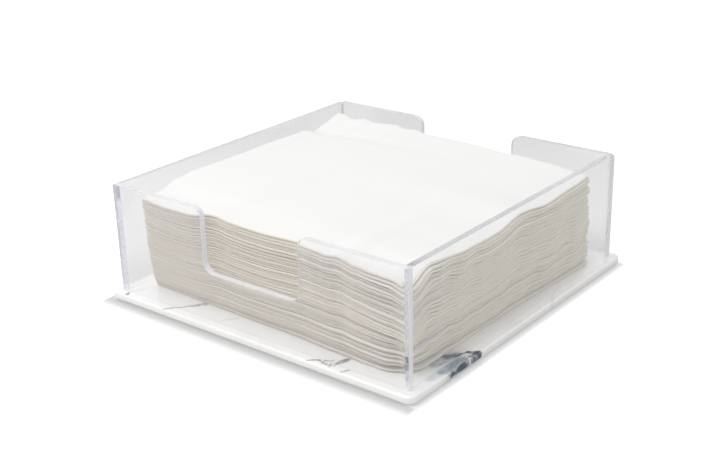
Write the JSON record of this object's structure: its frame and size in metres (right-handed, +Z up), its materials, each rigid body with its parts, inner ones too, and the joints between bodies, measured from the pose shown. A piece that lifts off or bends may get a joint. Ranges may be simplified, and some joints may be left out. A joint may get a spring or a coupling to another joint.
{
  "type": "napkin holder",
  "caption": "Square open napkin holder of clear acrylic with finger notches front and back, on a marble-look base, filled with folded paper napkins.",
  "frame": {"origin": "on the table, under the middle of the base, level with the underside of the feet", "axes": "+X along the notched front wall to the right, +Y towards the back wall, +Z up"},
  "size_m": [0.1876, 0.1876, 0.061],
  "materials": {
    "clear_acrylic": "polished",
    "marble_look_acrylic": "gloss",
    "clear_bumper": "satin",
    "napkin_tissue": "matte"
  },
  "bodies": {
    "tray": {"base_plate": "marble_look_acrylic", "front_wall": "clear_acrylic", "back_wall": "clear_acrylic", "left_wall": "clear_acrylic", "right_wall": "clear_acrylic", "foot_front_left": "clear_bumper", "foot_front_right": "clear_bumper", "foot_back_left": "clear_bumper", "foot_back_right": "clear_bumper"},
    "napkin_stack": {"napkin_01": "napkin_tissue", "napkin_02": "napkin_tissue", "napkin_03": "napkin_tissue", "napkin_04": "napkin_tissue", "napkin_05": "napkin_tissue", "napkin_06": "napkin_tissue", "napkin_07": "napkin_tissue", "napkin_08": "napkin_tissue", "napkin_09": "napkin_tissue", "napkin_10": "napkin_tissue", "napkin_11": "napkin_tissue", "napkin_12": "napkin_tissue", "napkin_13": "napkin_tissue", "napkin_14": "napkin_tissue", "napkin_15": "napkin_tissue", "napkin_16": "napkin_tissue", "napkin_17": "napkin_tissue", "napkin_18": "napkin_tissue", "napkin_19": "napkin_tissue", "napkin_20": "napkin_tissue", "napkin_21": "napkin_tissue", "napkin_22": "napkin_tissue", "napkin_23": "napkin_tissue", "napkin_24": "napkin_tissue", "napkin_25": "napkin_tissue", "napkin_26": "napkin_tissue", "napkin_27": "napkin_tissue", "napkin_28": "napkin_tissue", "napkin_29": "napkin_tissue", "napkin_30": "napkin_tissue", "napkin_31": "napkin_tissue", "napkin_32": "napkin_tissue", "napkin_33": "napkin_tissue", "napkin_34": "napkin_tissue", "napkin_35": "napkin_tissue", "napkin_36": "napkin_tissue", "napkin_37": "napkin_tissue", "napkin_38": "napkin_tissue", "napkin_39": "napkin_tissue"},
    "top_napkin": {"top_napkin": "napkin_tissue"}
  },
  "joints": [
    {"name": "stack_lift", "type": "slide", "parent": "tray", "child": "napkin_stack", "axis": [0, 0, 1], "range_m": [0, 0.075]},
    {"name": "top_napkin_lift", "type": "slide", "parent": "napkin_stack", "child": "top_napkin", "axis": [0, 0, 1], "range_m": [0, 0.075]}
  ]
}
